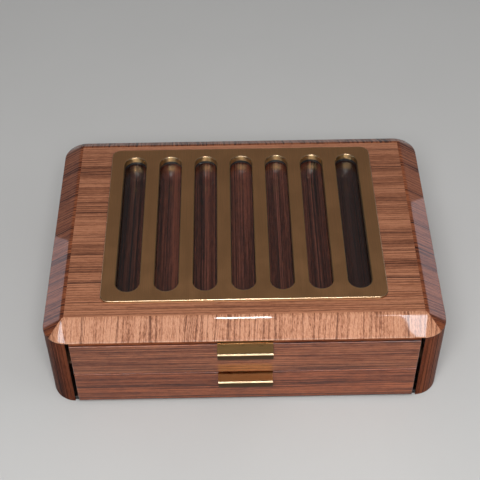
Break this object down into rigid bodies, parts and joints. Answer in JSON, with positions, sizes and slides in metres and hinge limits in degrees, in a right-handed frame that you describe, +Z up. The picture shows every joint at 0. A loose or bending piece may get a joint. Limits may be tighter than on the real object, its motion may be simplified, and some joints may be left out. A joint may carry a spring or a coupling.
{
  "type": "pen display case",
  "caption": "Low veneered case with a bevelled hinged lid, round-ended windows over pen grooves, and two shallow full-width drawers with bent brass pulls.",
  "frame": {"origin": "on the floor, under the middle of the case's outline", "axes": "+X to the right along the case's width, +Y to the back where the lid's hinges are, +Z up"},
  "size_m": [0.333, 0.2576, 0.0942],
  "materials": {
    "lacquered_veneer": "striped reddish-brown veneer under high-gloss clear lacquer",
    "tray_wood": "dark red-brown wood, glossy",
    "black_lacquer": "black lacquer, satin",
    "drawer_wood": "dark stained wood, satin",
    "dowel_wood": "plain beech",
    "pen_velvet": "black short-pile velvet",
    "felt": "black felt",
    "plate_brass": "satin brushed, with polished edges",
    "pull_brass": "semi-polished, brushed along its width",
    "hinge_brass": "satin",
    "screw_steel": "plated, satin",
    "black_gasket": "matte",
    "clear_glass": "clear, polished"
  },
  "bodies": {
    "case": {"left_side_wall": "lacquered_veneer", "right_side_wall": "lacquered_veneer", "back_wall": "lacquered_veneer", "base_board": "black_lacquer", "base_felt": "felt", "base_screws": "screw_steel", "drawer_shelf": "black_lacquer", "drawer_guides": "black_lacquer", "display_tray": "tray_wood", "hinge_case_leaves": "hinge_brass", "hinge_case_screws": "hinge_brass", "hinge_pins": "hinge_brass"},
    "lid": {"lid_panel": "lacquered_veneer", "window_plate": "plate_brass", "glass_gasket": "black_gasket", "glass_pane": "clear_glass", "glass_frame": "black_lacquer", "glass_frame_screws": "screw_steel", "hinge_lid_leaves": "hinge_brass", "hinge_lid_screws": "hinge_brass"},
    "upper_drawer": {"upper_drawer_front": "lacquered_veneer", "upper_drawer_left_side": "drawer_wood", "upper_drawer_right_side": "drawer_wood", "upper_drawer_back": "drawer_wood", "upper_drawer_bottom": "drawer_wood", "upper_drawer_dowels": "dowel_wood", "upper_pen_insert": "pen_velvet", "upper_drawer_pull": "pull_brass", "upper_pull_screws": "screw_steel"},
    "lower_drawer": {"lower_drawer_front": "lacquered_veneer", "lower_drawer_left_side": "drawer_wood", "lower_drawer_right_side": "drawer_wood", "lower_drawer_back": "drawer_wood", "lower_drawer_bottom": "drawer_wood", "lower_drawer_dowels": "dowel_wood", "lower_pen_insert": "pen_velvet", "lower_drawer_pull": "pull_brass", "lower_pull_screws": "screw_steel"}
  },
  "joints": [
    {"name": "lid_hinge", "type": "hinge", "parent": "case", "child": "lid", "pos_m": [0, 0.1212, 0.0778], "axis": [-1, 0, 0], "range_deg": [0, 95]},
    {"name": "upper_drawer_slide", "type": "slide", "parent": "case", "child": "upper_drawer", "axis": [0, -1, 0], "range_m": [0, 0.16]},
    {"name": "lower_drawer_slide", "type": "slide", "parent": "case", "child": "lower_drawer", "axis": [0, -1, 0], "range_m": [0, 0.16]}
  ]
}
